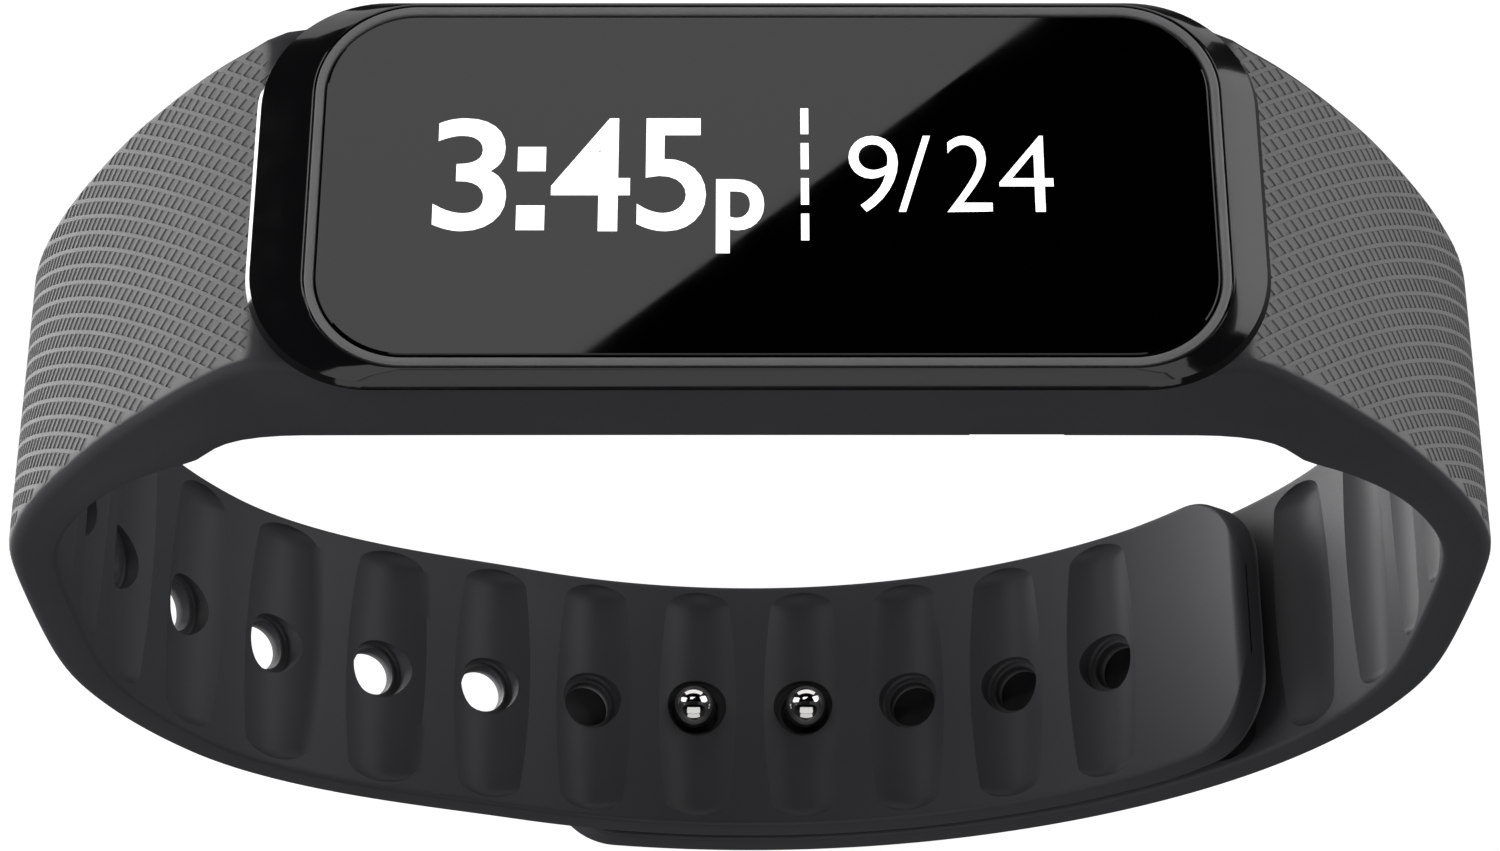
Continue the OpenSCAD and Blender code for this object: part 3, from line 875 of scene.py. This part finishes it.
def add_floor():
    """A pale floor that only the camera sees: the world lights the object from below instead."""
    side, drop = 3000, 0.05
    corners = np.array([(-side, -side, 0), (side, -side, 0), (side, side, 0), (-side, side, 0)])
    floor = mesh_object("floor", corners - [0, 0, drop], [(0, 1, 2, 3)])
    material, tree, shader = new_material("pale_floor")
    shade = mix_colour(tree, noise(tree, 2, 1), (0.30, 0.30, 0.30), (0.31, 0.31, 0.31))
    tree.links.new(shade, shader.inputs["Base Color"])
    shader.inputs["Roughness"].default_value = 0.9
    shader.inputs["Specular IOR Level"].default_value = 0.0
    shader.inputs["Emission Color"].default_value = (1, 1, 1, 1)
    shader.inputs["Emission Strength"].default_value = 0.93
    floor.data.materials.append(material)
    floor.visible_diffuse = floor.visible_glossy = floor.visible_shadow = False


def add_world():
    """Soft light from the sides, dark overhead so that the glass stays black, and bright light
    from below in place of what a pale floor throws back."""
    world = bpy.data.worlds.new("studio")
    bpy.context.scene.world = world
    world.use_nodes = True
    tree = world.node_tree
    coords = node(tree, "ShaderNodeTexCoord")
    split = node(tree, "ShaderNodeSeparateXYZ")
    tree.links.new(coords.outputs["Generated"], split.inputs[0])
    sky = map_range(tree, split.outputs["Z"], 0.34, 0.0, 0.25, 0.7, "SMOOTHSTEP")
    ground = map_range(tree, split.outputs["Z"], 1.7, 0.0, -0.5, -0.2, "SMOOTHSTEP")
    level = node(tree, "ShaderNodeMath", operation="ADD")
    tree.links.new(sky, level.inputs[0])
    tree.links.new(ground, level.inputs[1])
    tree.links.new(level.outputs[0], tree.nodes["Background"].inputs["Strength"])


def add_lights():
    softbox("left_box", (-0.84, 0.3, 0.46), 600, (380, 400), 1.4)
    softbox("right_box", (0.82, 0.38, 0.42), 600, (420, 420), 1.7)
    softbox("front_fill", (0, -1, 0.28), 700, (800, 300), 0.7)
    softbox("front_top", (0, -0.65, 0.7), 700, (1000, 450), 0.8)
    softbox("back_box", (0, 1, 0.28), 700, (900, 350), 1.0)
    softbox("rim_left", (-0.67, 0.5, -0.55), 600, (400, 400), 5, matt=False)
    softbox("low_left", (-1, -0.15, -0.15), 600, (600, 400), 4.6, mirrored=False)
    softbox("low_right", (1, 0, -0.15), 600, (600, 400), 2.3, mirrored=False)


# ---------------------------------------------------------------- the object

add_camera()

holes = [(i + 0.5) * PITCH for i in range(-4, 8)]
left = Strap("left_strap", 1, TAIL_END, TAIL_CORNER, last_groove=-4, steps_in=True)
right = Strap("right_strap", -1, STUD_END, STUD_CORNER, last_groove=-1, steps_in=False)
left_piece = build_strap(left, holes, texture_low=-TAIL_END + TEXTURE_MARGIN)
right_piece = build_strap(right, [], texture_low=-STUD_END + TEXTURE_MARGIN)
carve_clasp_seat(right_piece)

silicone = silicone_material()
for piece, strap in ((left_piece, left), (right_piece, right)):
    mark_depth(piece, strap)
    soften(piece, 28)
    dress(piece, silicone, "silicone")
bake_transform(left_piece)
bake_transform(right_piece)
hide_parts("long_strap", "long_strap_side", "long_strap_shoulder", "long_strap_tip",
            "band_cradle")
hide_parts("short_strap", "stud_strap_end", "band_cradle")

gloss = finish_material("gloss_black", (0.008, 0.008, 0.009), 0.1, spread=0.03, bump=0, grain=800,
                        Coat_Weight=0.6, Coat_Roughness=0.03)
trim_grey = finish_material("satin_grey", (0.30, 0.30, 0.305), 0.34, grain=5000)
window = finish_material("smoked_glass", (0.0006, 0.0006, 0.0006), 0.02, spread=0.008, bump=0,
                         grain=300)
polished = finish_material("polished_steel", (0.82, 0.81, 0.79), 0.07, spread=0.03, bump=0,
                           variation=0.03, Metallic=1.0)
satin_steel = finish_material("satin_steel", (0.55, 0.55, 0.56), 0.3, stretch=(1, 14, 1),
                              Metallic=1.0)

glass, glass_top = build_glass()
for piece, body, material, slot, replaced in (
    (build_bezel(), "pod", gloss, "bezel_black", "top_bezel"),
    (build_trim(), "pod", trim_grey, "trim_grey", "trim_ring"),
    (glass, "pod", window, "display_glass", "cover_glass"),
    (build_studs(), "stud_strap", polished, "stud_steel", "clasp_studs"),
    (build_plate(), "stud_strap", satin_steel, "clasp_steel", "clasp_plate"),
):
    dress(piece, material, slot)
    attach(piece, body)
    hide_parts(replaced)

readout = build_readout(glass_top + 0.01)
dress(readout, lit_material(), "display_panel")
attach(readout, "pod")

dress_inside()
add_reflected_card(glass_top)
add_floor()
add_world()
add_lights()
bpy.context.scene.view_settings.view_transform = "Standard"
